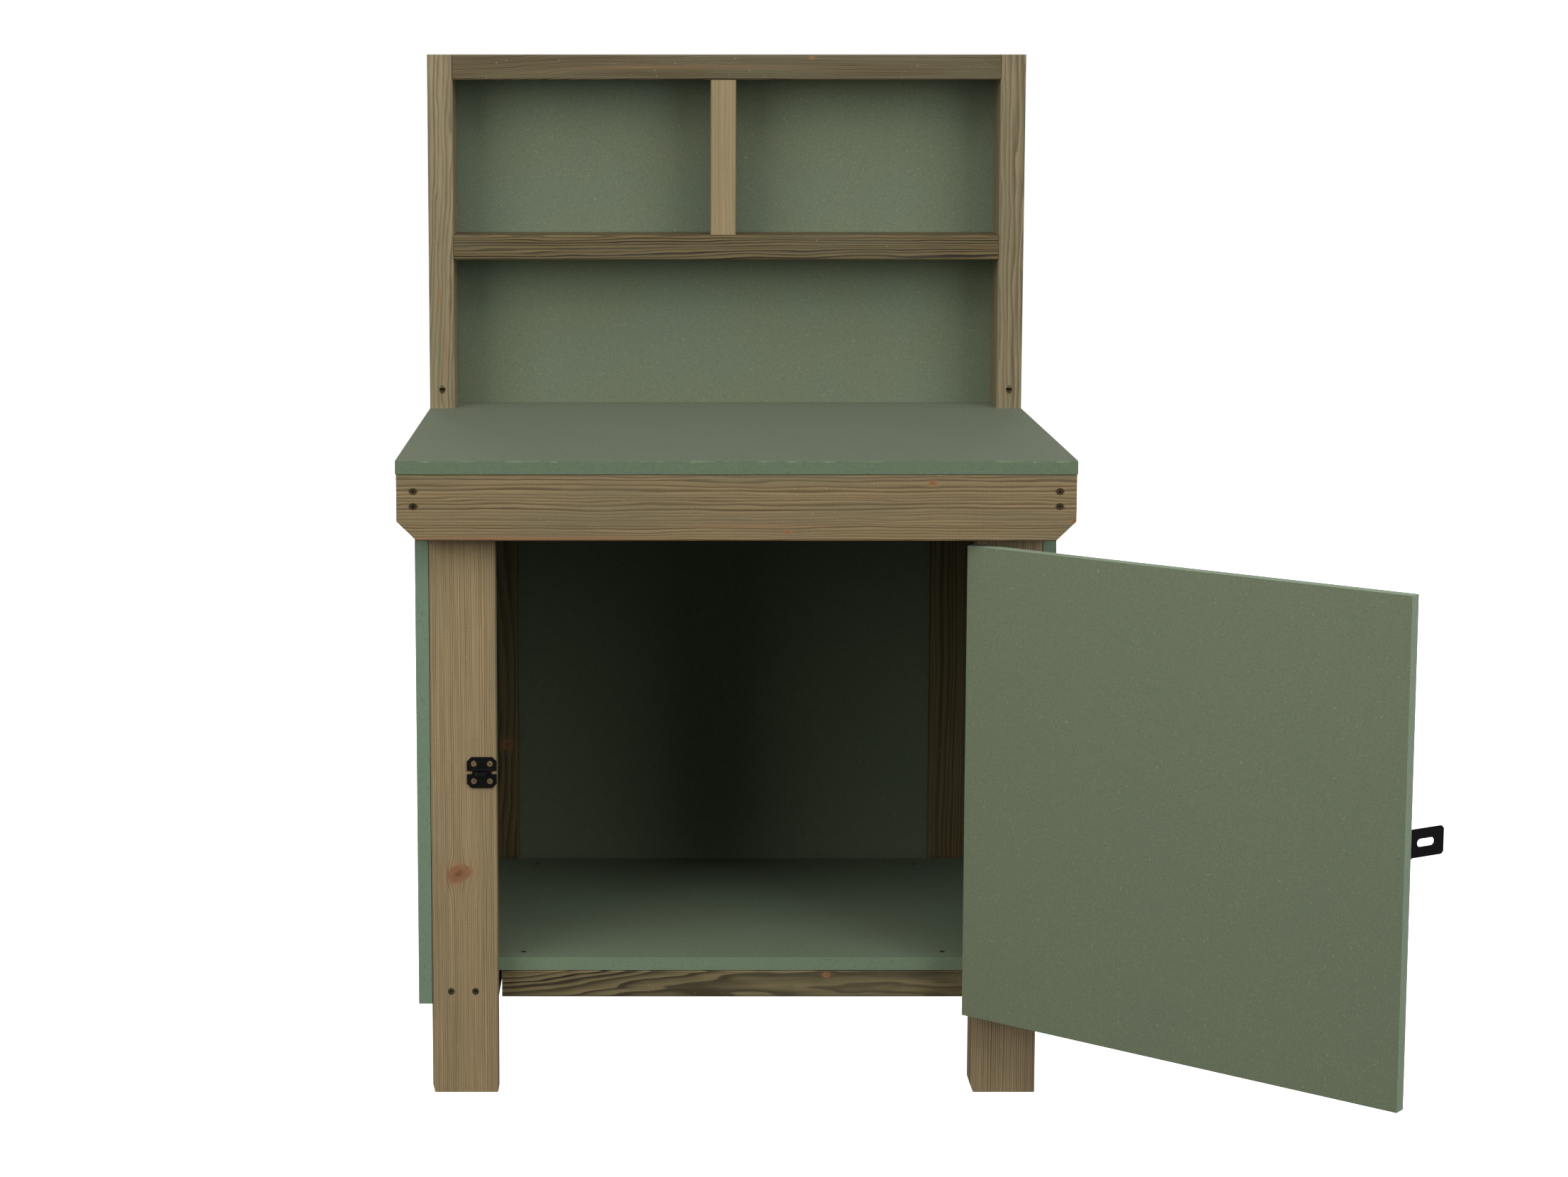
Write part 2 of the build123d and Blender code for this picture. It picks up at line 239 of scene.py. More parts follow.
def millimetres(tree, centre=(0, 0, 0)):
    place = tree.nodes.new("ShaderNodeTexCoord")
    mapping = tree.nodes.new("ShaderNodeMapping")
    mapping.inputs["Scale"].default_value = (1000, 1000, 1000)
    mapping.inputs["Location"].default_value = [-1000 * part for part in centre]
    tree.links.new(place.outputs["Object"], mapping.inputs["Vector"])
    return mapping.outputs[0], place.outputs["Normal"]


def split(tree, vector):
    node = tree.nodes.new("ShaderNodeSeparateXYZ")
    tree.links.new(vector, node.inputs[0])
    return dict(zip("XYZ", node.outputs))


def facing(tree, normal, direction):  # 1 where a face looks along the direction, 0 across it
    node = tree.nodes.new("ShaderNodeVectorMath")
    node.operation = "DOT_PRODUCT"
    tree.links.new(normal, node.inputs[0])
    node.inputs[1].default_value = direction
    return calc(tree, "ABSOLUTE", node.outputs["Value"])


def startMaterial(name):
    material = bpy.data.materials.new(name)
    material.use_nodes = True
    return material, material.node_tree, material.node_tree.nodes["Principled BSDF"]


def roughen(tree, shader, height, strength, depth):
    bump = tree.nodes.new("ShaderNodeBump")
    bump.inputs["Strength"].default_value = strength
    bump.inputs["Distance"].default_value = depth
    tree.links.new(height, bump.inputs["Height"])
    tree.links.new(bump.outputs[0], shader.inputs["Normal"])


# Pressure-treated softwood: rings about a pith line, fibres, and knots that the grain flows round
timberLook = {
    "pale": (134, 117, 86),
    "late": (86, 71, 45),
    "green": (102, 98, 74),
    "greenShare": 0.3,
    "red": (140, 103, 70),
    "knotPale": (148, 106, 72),
    "knotDark": (96, 60, 38),
    "resin": (190, 180, 154),
    "ringGap": 3.4,  # millimetres
    "pith": (90, 55),  # millimetres across and through, from the middle of the stud
    "wave": 7.0,  # slow wander of the rings along the stud
    "wiggle": 4.0,  # shorter waves, about a hand long
    "uneven": 2.2,
    "sweep": (0, 1, 0),  # the lines climb by the last number between the first two places along the stud
    "season": ((0.0, 0.45), (0.09, 0.0), (0.36, 0.12), (0.6, 0.5), (0.8, 1.0), (0.95, 0.95)),  # one ring
    "ripple": 0.018,
    "contrast": 1.0,
    "streaky": 0.55,
    "knots": [],  # each is (along, across, half length, half width, tilt)
    "streaks": [],  # each is (across, half width, along, half length, share)
    "rough": 0.56,
    "specular": 0.32,
    "bump": 0.45,
    "bumpDepth": 0.00028,  # metres
    "seed": 0.0,
}
screwHollowShade = {  # a hollow of crushed fibres round a sunk screw, darkened with painted shade; sizes in millimetres along, across and through the stud
    "along": 7.0,
    "across": 4.4,
    "through": 9.0,
    "shade": 0.62,
    # the dark colour of the painted shade in the hollow
    "colour": (38, 30, 18),
    "legShare": 0.35,
    "slack": 0.001,
}


def bendRoundKnots(tree, look, along, across, wander):
    bent = across
    share, nearest, halo = None, None, None
    for alongAt, acrossAt, halfLong, halfWide, tilt in look["knots"]:
        offAcross = calc(tree, "SUBTRACT", across, acrossAt)
        offAlong = calc(tree, "MULTIPLY_ADD", offAcross, -tilt, calc(tree, "SUBTRACT", along, alongAt))
        longer = calc(tree, "DIVIDE", offAlong, halfLong)
        wider = calc(tree, "DIVIDE", offAcross, halfWide)
        longSquare = calc(tree, "MULTIPLY", longer, longer)
        square = calc(tree, "ADD", longSquare, calc(tree, "MULTIPLY", wider, wider))
        stretched = calc(tree, "MULTIPLY_ADD", longSquare, -0.4, square)
        pull = calc(tree, "EXPONENT", calc(tree, "MULTIPLY", stretched, -0.42))
        pulled = calc(tree, "MULTIPLY", calc(tree, "MULTIPLY", offAcross, pull), 0.64)
        bent = calc(tree, "SUBTRACT", bent, pulled)
        reach = calc(tree, "MULTIPLY_ADD", wander, 0.5, calc(tree, "SQRT", square))
        core = spread(tree, reach, 1.42, 1.08)
        ring = spread(tree, reach, 2.6, 1.2)
        share = core if share is None else calc(tree, "MAXIMUM", share, core)
        nearest = reach if nearest is None else calc(tree, "MINIMUM", nearest, reach)
        halo = ring if halo is None else calc(tree, "MAXIMUM", halo, ring)
    return bent, share, nearest, halo


def screwsIn(low, high):
    slack = Vector((screwHollowShade["slack"],) * 3)
    found = []
    for node, slot in slotOf.items():
        if slot == "frame_screws":
            share = screwHollowShade["legShare"] if node == "leg_screws" else 1.0
            for head, *_ in screwPlaces(node):
                if all(a <= b <= c for a, b, c in zip(low - slack, head, high + slack)):
                    found.append((head, share))
    return found


def timberFinish(node, axes, own):
    look = {**timberLook, **own}
    material, tree, shader = startMaterial(node + "Timber")
    low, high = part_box(node)
    centre = (low + high) / 2
    place, normal = millimetres(tree, centre)
    part = split(tree, place)
    along, across, through = (part[axis] for axis in axes)
    seed = look["seed"]
    slow = combine(tree, calc(tree, "MULTIPLY", along, 0.13), across, through)
    drift = noise(tree, shift(tree, slow, 31 * seed), 0.013, 2.0)
    wander = noise(tree, shift(tree, slow, 17 * seed), 0.06, 2.0)
    bent, knotShare, knotReach, knotHalo = bendRoundKnots(tree, look, along, across, wander)
    sweepFrom, sweepTo, rise = look["sweep"]
    bent = calc(tree, "SUBTRACT", bent, spread(tree, along, sweepFrom, sweepTo, 0.0, rise))
    fromPith = calc(tree, "SUBTRACT", bent, look["pith"][0])
    behindPith = calc(tree, "SUBTRACT", through, look["pith"][1])
    squares = calc(tree, "MULTIPLY_ADD", fromPith, fromPith, calc(tree, "MULTIPLY", behindPith, behindPith))
    radius = calc(tree, "SQRT", squares)
    radius = calc(tree, "MULTIPLY_ADD", drift, look["wave"] * 3, radius)
    radius = calc(tree, "MULTIPLY_ADD", wander, look["wiggle"], radius)
    uneven = noise(tree, combine(tree, radius, 3.0 + seed, 0.0), 0.11, 1.0)
    years = calc(tree, "DIVIDE", radius, look["ringGap"])
    count = calc(tree, "MULTIPLY_ADD", uneven, look["uneven"], years)
    late = curveOf(tree, calc(tree, "FRACT", count), look["season"])
    year = tree.nodes.new("ShaderNodeTexWhiteNoise")
    year.noise_dimensions = "1D"
    feed(tree, year.inputs["W"], calc(tree, "FLOOR", count))
    depth = calc(tree, "MULTIPLY_ADD", year.outputs[0], 0.55, 0.45)
    late = calc(tree, "MULTIPLY", calc(tree, "MULTIPLY", late, depth), look["contrast"], clamp=True)
    # fibres, pores and planer ripple
    fine = combine(tree, calc(tree, "MULTIPLY", along, 0.02), across, through)
    fibre = noise(tree, shift(tree, fine, 7 * seed), 1.3, 4.0, 0.65)
    broad = noise(tree, shift(tree, fine, 3 * seed), 0.22, 3.0, 0.6)
    dash = combine(tree, calc(tree, "MULTIPLY", along, 0.16), across, through)
    pore = spread(tree, noise(tree, dash, 1.5, 1.0), 0.66, 0.76)
    dots = combine(tree, calc(tree, "MULTIPLY", along, 0.5), across, through)
    bead = spread(tree, noise(tree, shift(tree, dots, 50 + seed), 0.45, 0.0), 0.83, 0.87)
    swell = calc(tree, "MULTIPLY_ADD", wander, 2.0, calc(tree, "MULTIPLY", along, 1.42))
    ripple = calc(tree, "MULTIPLY", calc(tree, "SINE", swell), look["ripple"])
    colour = mix(tree, late, paint(*look["pale"]), paint(*look["late"]))
    patch = combine(tree, calc(tree, "MULTIPLY", along, 0.12), across, through)
    damp = noise(tree, shift(tree, patch, 13 * seed + 4), 0.03, 2.0)
    damp = spread(tree, damp, 0.42, 0.68, 0.0, look["greenShare"])
    colour = mix(tree, damp, colour, paint(*look["green"]))
    for acrossAt, halfWide, alongAt, halfLong, share in look["streaks"]:
        off = calc(tree, "DIVIDE", calc(tree, "SUBTRACT", bent, acrossAt), halfWide)
        far = calc(tree, "DIVIDE", calc(tree, "SUBTRACT", along, alongAt), halfLong)
        squares = calc(tree, "MULTIPLY_ADD", off, off, calc(tree, "MULTIPLY", far, far))
        band = calc(tree, "EXPONENT", calc(tree, "MULTIPLY", squares, -1.0))
        band = calc(tree, "MULTIPLY", calc(tree, "MULTIPLY", band, broad), share * 2)
        colour = mix(tree, band, colour, paint(*look["red"]))
    streaky = look["streaky"]
    tone = calc(tree, "MULTIPLY_ADD", fibre, streaky, 1.0 - streaky / 2)
    tone = calc(tree, "MULTIPLY_ADD", broad, streaky, calc(tree, "SUBTRACT", tone, streaky / 2))
    tone = calc(tree, "ADD", tone, ripple)
    tone = calc(tree, "MULTIPLY_ADD", pore, -0.12, tone)
    colour = mix(tree, 1.0, colour, tone, "MULTIPLY")
    colour = mix(tree, calc(tree, "MULTIPLY", bead, 0.35), colour, paint(*look["resin"]))
    if knotShare is not None:
        turns = calc(tree, "MULTIPLY_ADD", wander, 8.0, calc(tree, "MULTIPLY", knotReach, 13.0))
        rings = calc(tree, "SINE", turns)
        crack = spread(tree, noise(tree, shift(tree, place, 77.0), 0.3, 3.0, 0.7), 0.42, 0.66)
        brown = calc(tree, "MULTIPLY_ADD", rings, 0.08, 0.2)
        brown = calc(tree, "MULTIPLY_ADD", crack, 0.22, brown, clamp=True)
        heart = mix(tree, brown, paint(*look["knotPale"]), paint(*look["knotDark"]))
        pupil = spread(tree, knotReach, 0.85, 0.3, 0.0, 0.6)
        heart = mix(tree, pupil, heart, paint(*look["knotDark"]))
        colour = mix(tree, calc(tree, "MULTIPLY", knotHalo, 0.25), colour, paint(*look["red"]))
        colour = mix(tree, knotShare, colour, heart)
    # mask of the hollow round each sunk screw: it carries painted shade in the colour and a dent in the
    # bump
    hollowShade = None
    ways = tuple(zip((along, across, through), axes, ("along", "across", "through")))
    for head, share in screwsIn(low, high):
        off = dict(zip("XYZ", (head - centre) * 1000))
        reach = None
        for value, axis, way in ways:
            apart = calc(tree, "DIVIDE", calc(tree, "SUBTRACT", value, off[axis]), screwHollowShade[way])
            reach = calc(tree, "MULTIPLY_ADD", apart, apart, 0.0 if reach is None else reach)
        near = spread(tree, calc(tree, "MULTIPLY_ADD", broad, 0.9, reach), 1.75, 0.95, 0.0, share)
        hollowShade = near if hollowShade is None else calc(tree, "MAXIMUM", hollowShade, near)
    # painted shade: the hollow round each sunk screw is darkened towards the shade colour
    if hollowShade is not None:
        shade = calc(tree, "MULTIPLY", hollowShade, screwHollowShade["shade"])
        colour = mix(tree, shade, colour, paint(*screwHollowShade["colour"]))
    # sawn ends are darker and coarser
    grainWay = [float(axis == axes[0]) for axis in "XYZ"]
    end = spread(tree, facing(tree, normal, grainWay), 0.75, 0.95)
    coarse = noise(tree, place, 1.1, 2.0)
    sawn = mix(tree, 1.0, colour, calc(tree, "MULTIPLY_ADD", coarse, 0.5, 0.42), "MULTIPLY")
    colour = mix(tree, end, colour, sawn)
    tree.links.new(colour, shader.inputs["Base Color"])
    rough = calc(tree, "MULTIPLY_ADD", fibre, 0.24, look["rough"])
    tree.links.new(calc(tree, "MULTIPLY_ADD", late, -0.08, rough), shader.inputs["Roughness"])
    shader.inputs["Specular IOR Level"].default_value = look["specular"]
    height = calc(tree, "MULTIPLY_ADD", late, 0.5, calc(tree, "MULTIPLY", fibre, 0.55))
    height = calc(tree, "MULTIPLY_ADD", ripple, 2.0, height)
    height = calc(tree, "MULTIPLY_ADD", pore, -0.3, height)
    if hollowShade is not None:
        height = calc(tree, "MULTIPLY_ADD", hollowShade, -1.5, height)
    roughen(tree, shader, height, look["bump"], look["bumpDepth"])
    return material


timbers = {  # each stud: the axes along, across and through it, and what differs from timberLook
    "front_leg_left": ("ZXY", {
        "pale": (153, 133, 98), "late": (94, 76, 48), "pith": (-130, 50), "ringGap": 2.4, "wave": 1.6,
        "wiggle": 2.6, "contrast": 0.72, "ripple": 0.024, "greenShare": 0.25, "streaky": 0.75, "seed": 1.0,
        "knots": [(-122, -7, 12, 17, 0.18)],
    }),
    "front_leg_right": ("ZXY", {
        # a lighter copy of the timber: painted light making up for the door's shadow on this leg
        "pale": (158, 139, 106), "late": (100, 83, 55), "pith": (150, 60), "ringGap": 2.6, "wave": 4.0,
        "wiggle": 2.0, "seed": 2.0,
    }),
    "rear_leg_left": ("ZXY", {
        "pale": (108, 94, 62), "late": (62, 48, 26), "pith": (60, 90), "ringGap": 3.6, "seed": 3.0,
        "knots": [(-88, 27, 9, 8, 0)],
    }),
    "rear_leg_right": ("ZXY", {
        "pale": (108, 94, 62), "late": (62, 48, 26), "pith": (-80, 70), "ringGap": 4.0, "seed": 4.0,
    }),
    "front_apron": ("XZY", {
        "pale": (138, 119, 86), "late": (74, 58, 33), "pith": (75, 58), "ringGap": 3.2, "wave": 3.4,
        "wiggle": 6.0, "contrast": 0.95, "ripple": 0.026, "greenShare": 0.45, "seed": 5.0,
        "knots": [(259, 33, 6, 3.2, 0), (68, -32, 6, 2.4, 0), (445, -18, 3.5, 3.5, 0)],
        "streaks": [(-41, 3, -280, 150, 0.8), (-24, 3, 20, 90, 0.4)],
    }),
    "rear_apron": ("XZY", {"pith": (-70, 60), "seed": 6.0}),
    "side_apron_left": ("YZX", {
        "pith": (52, 60), "ringGap": 3.0, "seed": 7.0, "knots": [(140, -8, 9, 8, 0)],
    }),
    "side_apron_right": ("YZX", {"pith": (-58, -48), "ringGap": 3.2, "seed": 8.0}),
    "bottom_side_rail_left": ("YXZ", {"pith": (70, 40), "seed": 9.0}),
    "bottom_side_rail_right": ("YXZ", {"pith": (-60, 50), "seed": 10.0}),
    "bottom_front_rail": ("XZY", {
        "pale": (114, 102, 70), "late": (32, 24, 10), "pith": (-46, 30), "ringGap": 3.8, "wave": 5.0,
        "wiggle": 6.0, "uneven": 3.4, "sweep": (-330, 40, 44), "contrast": 1.3, "greenShare": 0.3,
        "seed": 11.0, "knots": [(127, 12, 5, 3.4, 0)],
    }),
    "bottom_rear_rail": ("XZY", {"pith": (30, 46), "ringGap": 4.0, "seed": 12.0}),
    "upright_left": ("ZXY", {
        "pale": (140, 127, 98), "late": (94, 79, 52), "pith": (64, 34), "ringGap": 4.4, "wave": 5.0,
        "wiggle": 11.0, "contrast": 1.0, "greenShare": 0.3, "seed": 13.0, "sweep": (-260, 160, 16),
        "streaks": [(-7, 1.3, -101, 12, 1.6), (6, 2.2, -190, 60, 0.5)],
    }),
    "upright_right": ("ZXY", {
        "pale": (130, 118, 90), "late": (86, 73, 48), "pith": (-54, 40), "ringGap": 4.0, "wave": 6.0,
        "wiggle": 8.0, "contrast": 1.0, "seed": 14.0,
    }),
    "top_rail": ("XZY", {
        "pale": (98, 86, 58), "late": (50, 40, 20), "pith": (76, 24), "ringGap": 1.8, "wave": 6.0,
        "wiggle": 5.0, "contrast": 1.1, "greenShare": 0.4, "seed": 15.0, "sweep": (-400, -150, 14),
        "knots": [(128, 14, 3, 2.2, 0)], "streaks": [(-14, 3, -60, 200, 0.3)],
    }),
    "middle_shelf": ("XZY", {
        "pale": (105, 90, 57), "late": (20, 12, 2), "pith": (-58, 44), "ringGap": 2.3, "wave": 6.0,
        "wiggle": 5.0, "uneven": 3.4, "contrast": 1.3, "greenShare": 0.3, "seed": 16.0,
    }),
    "shelf_divider": ("ZXY", {
        "pale": (145, 128, 95), "late": (110, 91, 62), "pith": (80, 90), "ringGap": 3.4, "wave": 3.0,
        "contrast": 0.5, "greenShare": 0.12, "streaky": 0.3, "seed": 17.0,
    }),
}

# Green moisture-resistant board: fine speckle, curled pale fibres, dark flecks and greener sawn edges
boardLook = {
    "face": (106, 116, 94),
    "edge": (98, 113, 91),
    "cloud": (98, 115, 97),
    "cloudShare": 0.3,
    "fibre": (160, 155, 114),
    "fleck": (66, 72, 52),
    "chip": (132, 143, 120),
    "speckle": 0.3,
    "mottle": 0.45,
    "sanding": 0.0,
    "swirls": ((-420, 260), (760, 900)),  # middles of the sanding arcs, millimetres
    "arris": 0.0,  # height in millimetres of a worn top arris, or nothing
    "rough": 0.62,
    "specular": 0.28,
    "bump": 0.3,
    "bumpDepth": 0.0003,  # metres
    "seed": 0.0,
}


def curls(tree, place, size, width, length, share):  # thin pale lines, broken into short pieces
    line = calc(tree, "ABSOLUTE", calc(tree, "SUBTRACT", noise(tree, place, size, 0.0), 0.5))
    piece = noise(tree, shift(tree, place, 91.0), length, 0.0)
    thin = spread(tree, line, width, width * 0.3)
    return calc(tree, "MULTIPLY", thin, spread(tree, piece, 0.6, 0.66, 0.0, share))


def boardFinish(node, flat, own):
    look = {**boardLook, **own}
    material, tree, shader = startMaterial(node + "Board")
    still, normal = millimetres(tree)
    place = shift(tree, still, 211 * look["seed"])
    speckle = noise(tree, place, 0.8, 4.0, 0.7)
    mottle = noise(tree, place, 0.36, 3.0, 0.7)
    cloud = spread(tree, noise(tree, place, 0.006, 2.0), 0.42, 0.66, 0.0, look["cloudShare"])
    colour = mix(tree, cloud, paint(*look["face"]), paint(*look["cloud"]))
    long = curls(tree, place, 0.16, 0.022, 0.32, 0.42)
    short = curls(tree, shift(tree, place, 37.0), 0.4, 0.05, 0.75, 0.42)
    dark = spread(tree, noise(tree, shift(tree, place, 61.0), 0.6, 1.0), 0.66, 0.74, 0.0, 0.45)
    colour = mix(tree, dark, colour, paint(*look["fleck"]))
    colour = mix(tree, calc(tree, "MAXIMUM", long, short), colour, paint(*look["fibre"]))
    # sawn edges are greener, with the sheet's layers and a few pale chips
    edge = spread(tree, facing(tree, normal, flat), 0.9, 0.6)
    squash = tree.nodes.new("ShaderNodeMapping")
    squash.inputs["Scale"].default_value = [0.4 + 0.6 * abs(part) for part in flat]
    tree.links.new(place, squash.inputs["Vector"])
    layers = noise(tree, squash.outputs[0], 0.34, 4.0, 0.65)
    rim = mix(tree, spread(tree, layers, 0.6, 0.72, 0.0, 0.35), paint(*look["edge"]), paint(*look["chip"]))
    rim = mix(tree, spread(tree, layers, 0.42, 0.3, 0.0, 0.35), rim, paint(*look["fleck"]))
    if look["arris"]:
        height = calc(tree, "SUBTRACT", split(tree, still)["Z"], look["arris"])
        lumps = noise(tree, squash.outputs[0], 0.11, 3.0, 0.6)
        worn = calc(tree, "MULTIPLY_ADD", lumps, 16.0, height)
        rim = mix(tree, spread(tree, worn, 6.6, 9.0, 0.0, 0.55), rim, paint(*look["chip"]))
    colour = mix(tree, edge, colour, rim)
    tone = calc(tree, "MULTIPLY_ADD", speckle, look["speckle"], 1.0 - look["speckle"] / 2)
    darker = calc(tree, "SUBTRACT", tone, look["mottle"] / 2)
    tone = calc(tree, "MULTIPLY_ADD", mottle, look["mottle"], darker)
    if look["sanding"]:
        parts = split(tree, place)
        for centreX, centreY in look["swirls"]:
            offX = calc(tree, "SUBTRACT", parts["X"], centreX)
            offY = calc(tree, "SUBTRACT", parts["Y"], centreY)
            squares = calc(tree, "MULTIPLY_ADD", offX, offX, calc(tree, "MULTIPLY", offY, offY))
            arc = calc(tree, "SQRT", squares)
            swirl = noise(tree, combine(tree, arc, calc(tree, "MULTIPLY", offX, 0.02), 0.0), 0.05, 2.0)
            darker = calc(tree, "SUBTRACT", tone, look["sanding"] / 2)
            tone = calc(tree, "MULTIPLY_ADD", swirl, look["sanding"], darker)
    colour = mix(tree, 1.0, colour, tone, "MULTIPLY")
    tree.links.new(colour, shader.inputs["Base Color"])
    tree.links.new(calc(tree, "MULTIPLY_ADD", speckle, 0.2, look["rough"]), shader.inputs["Roughness"])
    shader.inputs["Specular IOR Level"].default_value = look["specular"]
    height = calc(tree, "MULTIPLY_ADD", edge, calc(tree, "MULTIPLY", layers, 1.2), speckle)
    roughen(tree, shader, height, look["bump"], look["bumpDepth"])
    return material


doorTurn = math.radians(51)
doorWay = (math.cos(doorTurn), math.sin(doorTurn), 0)  # straight out of the open door's face
boards = {  # each board: the way its face looks, and what differs from boardLook
    "worktop": ((0, 0, 1), {
        "face": (102, 109, 92), "edge": (95, 110, 87), "sanding": 0.06, "arris": 872, "cloudShare": 0.15,
        "seed": 1.0,
    }),
    "cupboard_floor": ((0, 0, 1), {"face": (98, 109, 89), "edge": (107, 124, 99), "seed": 2.0}),
    "side_panel_left": ((1, 0, 0), {"edge": (109, 129, 107), "seed": 3.0}),
    "side_panel_right": ((1, 0, 0), {"edge": (109, 129, 107), "seed": 4.0}),
    "lower_back_panel": ((0, 1, 0), {
        "face": (101, 110, 87), "cloud": (96, 110, 91), "fibre": (138, 138, 100), "seed": 5.0,
    }),
    "upper_back_panel": ((0, 1, 0), {
        "face": (101, 110, 88), "cloud": (94, 111, 96), "cloudShare": 0.4, "seed": 6.0,
    }),
    "door_panel": (doorWay, {
        # the face is a lighter copy of the green board: painted light making up for the light its turned
        # face misses
        "face": (109, 119, 95), "edge": (126, 140, 120), "cloudShare": 0.12, "seed": 7.0,
    }),
}

# Ironwork: black japanned plates, brass and dull yellow screws
ironLook = {
    "black": (0.0025, 0.0025, 0.003, 1),
    "worn": (0.008, 0.0075, 0.007, 1),
    "rough": 0.26,
    "specular": 0.25,
    "coat": 0.3,
    "coatRoughness": 0.1,
    "bump": 0.2,
    "bumpDepth": 0.0002,  # metres
}
screwLooks = {  # each is its metal, how the next screw differs, its stain and its roughness
    "brass": ((0.66, 0.55, 0.26, 1), (0.68, 0.45, 0.3, 1), (0.26, 0.19, 0.08, 1), 0.36),
    "dull": ((0.13, 0.095, 0.055, 1), (0.1, 0.075, 0.045, 1), (0.045, 0.032, 0.018, 1), 0.5),
    "buried": ((0.17, 0.135, 0.09, 1), (0.12, 0.1, 0.07, 1), (0.06, 0.046, 0.03, 1), 0.55),
    "black": ((0.03, 0.03, 0.032, 1), (0.022, 0.022, 0.024, 1), (0.012, 0.012, 0.012, 1), 0.4),
}
screwBump = {"strength": 0.25, "depth": 0.0001}


def ironFinish(name, look):
    material, tree, shader = startMaterial(name)
    place, _ = millimetres(tree)
    peel = noise(tree, place, 0.9, 2.0)
    scuff = spread(tree, noise(tree, place, 0.35, 4.0, 0.7), 0.6, 0.75, 0.0, 0.6)
    tree.links.new(mix(tree, scuff, look["black"], look["worn"]), shader.inputs["Base Color"])
    rough = calc(tree, "MULTIPLY_ADD", peel, 0.2, look["rough"])
    tree.links.new(calc(tree, "MULTIPLY_ADD", scuff, 0.25, rough), shader.inputs["Roughness"])
    shader.inputs["Specular IOR Level"].default_value = look["specular"]
    shader.inputs["Coat Weight"].default_value = look["coat"]
    shader.inputs["Coat Roughness"].default_value = look["coatRoughness"]
    roughen(tree, shader, peel, look["bump"], look["bumpDepth"])
    return material


def screwFinish(name, look):
    material, tree, shader = startMaterial(name)
    place, _ = millimetres(tree)
    colour, other, stained, rough = look
    stain = spread(tree, noise(tree, place, 0.5, 3.0, 0.6), 0.42, 0.7, 0.0, 0.85)
    scratch = noise(tree, place, 3.0, 3.0, 0.7)
    each = spread(tree, noise(tree, shift(tree, place, 23.0), 0.045, 0.0), 0.44, 0.56)
    metal = mix(tree, each, colour, other)  # screws differ a little
    tree.links.new(mix(tree, stain, metal, stained), shader.inputs["Base Color"])
    tree.links.new(calc(tree, "MULTIPLY_ADD", scratch, 0.3, rough - 0.1), shader.inputs["Roughness"])
    shader.inputs["Metallic"].default_value = 1.0
    roughen(tree, shader, scratch, screwBump["strength"], screwBump["depth"])
    return material


# Pieces: eased copies of the frame's shapes, in metres and degrees
meshing = {"weld": 4e-6, "flatTo": 0.6, "leastEdge": 3e-6, "smoothTo": 48}
easing = {
    "timber": {"width": 0.0004, "segments": 2, "sharpFrom": 50},
    "board": {"width": 0.0005, "segments": 2, "sharpFrom": 50},
    "iron": {"width": 0.00028, "segments": 2, "sharpFrom": 38},
}
arrisRound = {"sides": 0.0012, "planed": 0.0026, "segments": 4, "sharpFrom": 50, "reach": 2e-5}
planedStuds = (  # these have rounder corners
    "upright_left", "upright_right", "top_rail", "middle_shelf", "shelf_divider",
)
footClips = {  # a corner knocked off each front foot: a point on the cut in metres, and the way it faces
    "front_leg_left": ((-0.0445, 0, 0.011), (-11, 0, -3)),
    "front_leg_right": ((0.6865, 0, 0.013), (-13, 0, -5)),
}


def camel(node):
    first, *rest = node.split("_")
    return first + "".join(word.capitalize() for word in rest)


def shadeSmooth(shape, smoothTo):
    for face in shape.faces:
        face.smooth = True
    for edge in shape.edges:
        edge.smooth = not (edge.is_manifold and edge.calc_face_angle() > math.radians(smoothTo))


def addPiece(shape, node, material):
    name = camel(node)
    mesh = bpy.data.meshes.new(name)
    shape.to_mesh(mesh)
    shape.free()
    mesh.materials.append(material)
    piece = bpy.data.objects.new(name, mesh)
    scene.collection.objects.link(piece)
    flat = piece.modifiers.new("flatFaces", "WEIGHTED_NORMAL")
    flat.keep_sharp = True
    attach(piece, bodyOf[node])
    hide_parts(node)


def sidesOf(vert, low, high):  # which sides of the stud's box a vertex lies on
    touched = set()
    for axis in range(3):
        for end, corner in (("low", low), ("high", high)):
            if abs(vert.co[axis] - corner[axis]) < arrisRound["reach"]:
                touched.add((axis, end))
    return touched


def roundCorners(shape, node):
    low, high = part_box(node)
    sharpFrom = math.radians(arrisRound["sharpFrom"])
    arrises = []
    for edge in shape.edges:
        first, second = (sidesOf(vert, low, high) for vert in edge.verts)
        if len(first & second) > 1 and edge.is_manifold and edge.calc_face_angle() > sharpFrom:
            arrises.append(edge)
    bmesh.ops.bevel(
        shape, geom=arrises, offset=arrisRound["planed" if node in planedStuds else "sides"],
        offset_type="OFFSET", segments=arrisRound["segments"], profile=0.5, affect="EDGES",
        clamp_overlap=True, material=-1,
    )


